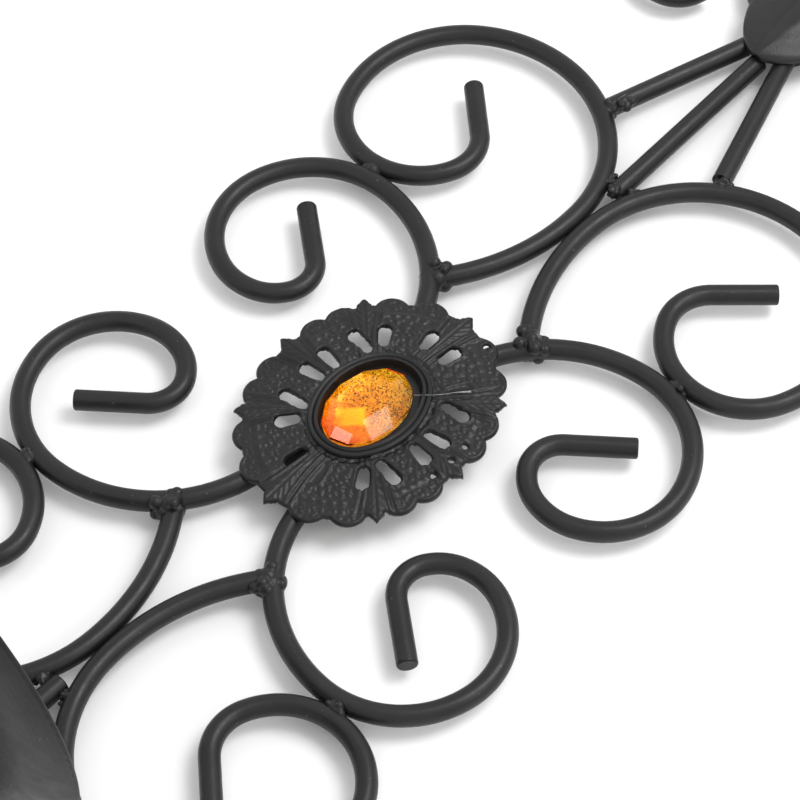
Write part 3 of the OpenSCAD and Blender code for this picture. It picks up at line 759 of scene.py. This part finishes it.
# Rings of the cut stone: share of its half widths, share of its height, corners, first corner's turn
STONE_RINGS = ((0.96, 0, 12, 28), (1, 0.145, 12, 28), (0.985, 0.265, 12, 28), (0.59, 1, 6, 13))
FACET_EDGE = 0.07


def faceted_stone(material):
    """The CAD stone with its facet edges slightly rounded."""
    low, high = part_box("stone")
    centre, half = (low + high) / 2, (high - low) / 2
    cut = bmesh.new()
    for share, height, corners, start in STONE_RINGS:
        for k in range(corners):
            x, z = oval((half.x * share, half.z * share), start + 360 * k / corners)
            cut.verts.new((centre.x + x, high.y - height * (high.y - low.y), centre.z + z))
    bmesh.ops.convex_hull(cut, input=cut.verts[:])
    bmesh.ops.dissolve_limit(cut, angle_limit=math.radians(1), verts=cut.verts[:], edges=cut.edges[:])
    bmesh.ops.recalc_face_normals(cut, faces=cut.faces[:])
    bmesh.ops.bevel(cut, geom=cut.edges[:], offset=FACET_EDGE * MM, segments=1, affect="EDGES")
    cut.verts.index_update()
    points = [tuple(v.co) for v in cut.verts]
    faces = [tuple(v.index for v in f.verts) for f in cut.faces]
    cut.free()
    piece("cut_stone", points, faces, material, "stone", smooth=False)


# ---- Glue ----

# The thread's route off the stone's middle, in mm: right, up, and out from the wires; then its radii
GLUE_ROUTE = (
    (5.6, 9.7, 3.9), (8.4, 10.6, 5.7), (10.0, 11.7, 6.1),
    (11.5, 14.0, 5.5), (12.9, 16.3, 5.1), (15.2, 18.8, 4.9),
)
GLUE_RADII = (0.12, 0.06, 0.05, 0.055, 0.09, 0.32)
GLUE_STEPS, GLUE_SIDES = 10, 8
# The thread runs up to the right at about 45 degrees, so its section lies across that
GLUE_SLANT = 0.7


def glue(material):
    """A thread of clear glue drawn from the stone's right edge over the bezel onto the medallion."""
    stone = middle("stone")
    path = []
    last = len(GLUE_ROUTE) - 2
    for k in range(last + 1):
        for i in range(GLUE_STEPS + (k == last)):
            t = i / GLUE_STEPS
            at = [GLUE_ROUTE[k][n] * (1 - t) + GLUE_ROUTE[k + 1][n] * t for n in range(3)]
            path.append((at, GLUE_RADII[k] * (1 - t) + GLUE_RADII[k + 1] * t))
    points, faces = [], []
    for at, size in path:
        for i in range(GLUE_SIDES):
            turn = 2 * math.pi * i / GLUE_SIDES
            side, lift = size * math.cos(turn), size * math.sin(turn)
            points.append((
                stone.x + (at[0] - side * GLUE_SLANT) * MM,
                wire_plane_y - (at[2] + lift) * MM,
                stone.z + (at[1] + side * GLUE_SLANT) * MM,
            ))
    for k in range(len(path) - 1):
        for i in range(GLUE_SIDES):
            j = (i + 1) % GLUE_SIDES
            near, far = k * GLUE_SIDES, (k + 1) * GLUE_SIDES
            faces.append((near + i, far + i, far + j, near + j))
    faces.append(tuple(range(GLUE_SIDES)))
    faces.append(tuple(reversed(range(len(points) - GLUE_SIDES, len(points)))))
    piece("glue_thread", points, faces, material, None)


# ---- Stage ----

# Half the side of the pale surface and its gap behind the sconce, in metres
FLOOR_HALF = 1.6
FLOOR_GAP = 0.0001
SKY_STRENGTH = 0.97
# How far the panels that the stone mirrors stand from it, in metres, and their directions. One facet is
# filled by the window; the round panel's edge crosses another and leaves it a small highlight. They are
# placed so that the highlights fall where the photograph has them: its real lamps aren't known.
PANEL_DISTANCE = 1.2
WINDOW_WAY = (0.73, -0.67, 0.16)
PANEL_WAY = (-0.0993, -0.8167, -0.5710)

def camera():
    """Sets the camera at the photograph's viewing angle, aimed just above the stone."""
    aim = middle("bezel") + Vector(VIEW_AIM) * MM
    out = Vector((
        math.cos(VIEW_ELEVATION) * math.sin(VIEW_AZIMUTH),
        -math.cos(VIEW_ELEVATION) * math.cos(VIEW_AZIMUTH),
        math.sin(VIEW_ELEVATION),
    ))
    right = Vector((0, 0, 1)).cross(out).normalized()
    up = out.cross(right)
    rolled_up = math.cos(VIEW_ROLL) * up - math.sin(VIEW_ROLL) * right
    rolled_right = math.cos(VIEW_ROLL) * right + math.sin(VIEW_ROLL) * up
    data = bpy.data.cameras.new("camera")
    data.lens = LENS
    data.sensor_width = SENSOR
    data.clip_start = CLIP_START
    data.clip_end = CLIP_END
    obj = bpy.data.objects.new("camera", data)
    turn = Matrix((rolled_right, rolled_up, out)).transposed().to_4x4()
    obj.matrix_world = Matrix.Translation(aim + out * VIEW_DISTANCE) @ turn
    bpy.context.collection.objects.link(obj)
    bpy.context.scene.camera = obj


def floor():
    """A pale surface just behind the sconce's rearmost face."""
    half = FLOOR_HALF
    y = cad_box[1][1] + FLOOR_GAP
    mesh = bpy.data.meshes.new("pale_surface")
    z = scroll_centre.z
    corners = [(-half, y, z - half), (half, y, z - half), (half, y, z + half), (-half, y, z + half)]
    mesh.from_pydata(corners, [], [(0, 1, 2, 3)])
    obj = bpy.data.objects.new("pale_surface", mesh)
    bpy.context.collection.objects.link(obj)
    mesh.materials.append(paper())


def area_light(name, place, aim, size, power, colour=(1, 1, 1), shape="SQUARE"):
    data = bpy.data.lights.new(name, "AREA")
    data.shape = shape
    data.size = size
    data.energy = power
    data.color = colour
    obj = bpy.data.objects.new(name, data)
    obj.location = place
    obj.rotation_euler = (Vector(aim) - Vector(place)).to_track_quat("-Z", "Y").to_euler()
    bpy.context.collection.objects.link(obj)


def studio():
    """Even white surroundings, a large soft key from above, and two panels that the stone mirrors."""
    world = bpy.data.worlds.new("studio")
    world.use_nodes = True
    sky = world.node_tree.nodes["Background"]
    sky.inputs["Color"].default_value = (1, 1, 1, 1)
    sky.inputs["Strength"].default_value = SKY_STRENGTH
    bpy.context.scene.world = world
    aim = scroll_centre
    stone = middle("stone")
    window = stone + PANEL_DISTANCE * Vector(WINDOW_WAY)
    panel = stone + PANEL_DISTANCE * Vector(PANEL_WAY)
    area_light("key", aim + Vector((0.35, -1.2, 0.55)), aim, size=0.6, power=9.0)
    area_light("window", window, stone, size=0.22, power=0.9, colour=(1, 0.97, 0.90))
    area_light("panel", panel, stone, size=0.13, power=0.32, colour=(1, 0.93, 0.84), shape="DISK")
    area_light("back", aim + Vector((-0.3, 1.4, 0.5)), aim, size=1.0, power=8.0)
    bpy.context.scene.view_settings.view_transform = "Standard"


# ---- Putting it together ----

camera()
floor()
studio()

coat = powder_coat()
medallion(powder_coat("stamping_coat", grain=1.2))
leaf(powder_coat("leaf_coat", gloss=0.40))
welds(coat)
glue(clear_glue())
stone_glass = amber()
faceted_stone(stone_glass)
finishes = {
    "black_powder_coat": coat,
    "zinc_steel": zinc_steel(),
    "gold_foil": gold_foil(),
    "amber_stone": stone_glass,
}
pan_coat = powder_coat("pan_coat", gloss=0.24)
for row in frame["record"]["subparts"]:
    node = frame["nodes"][row["node"]]
    for slot in node.material_slots:
        slot.material = pan_coat if row["node"] == "candle_pan" else finishes[row["material_slot"]]
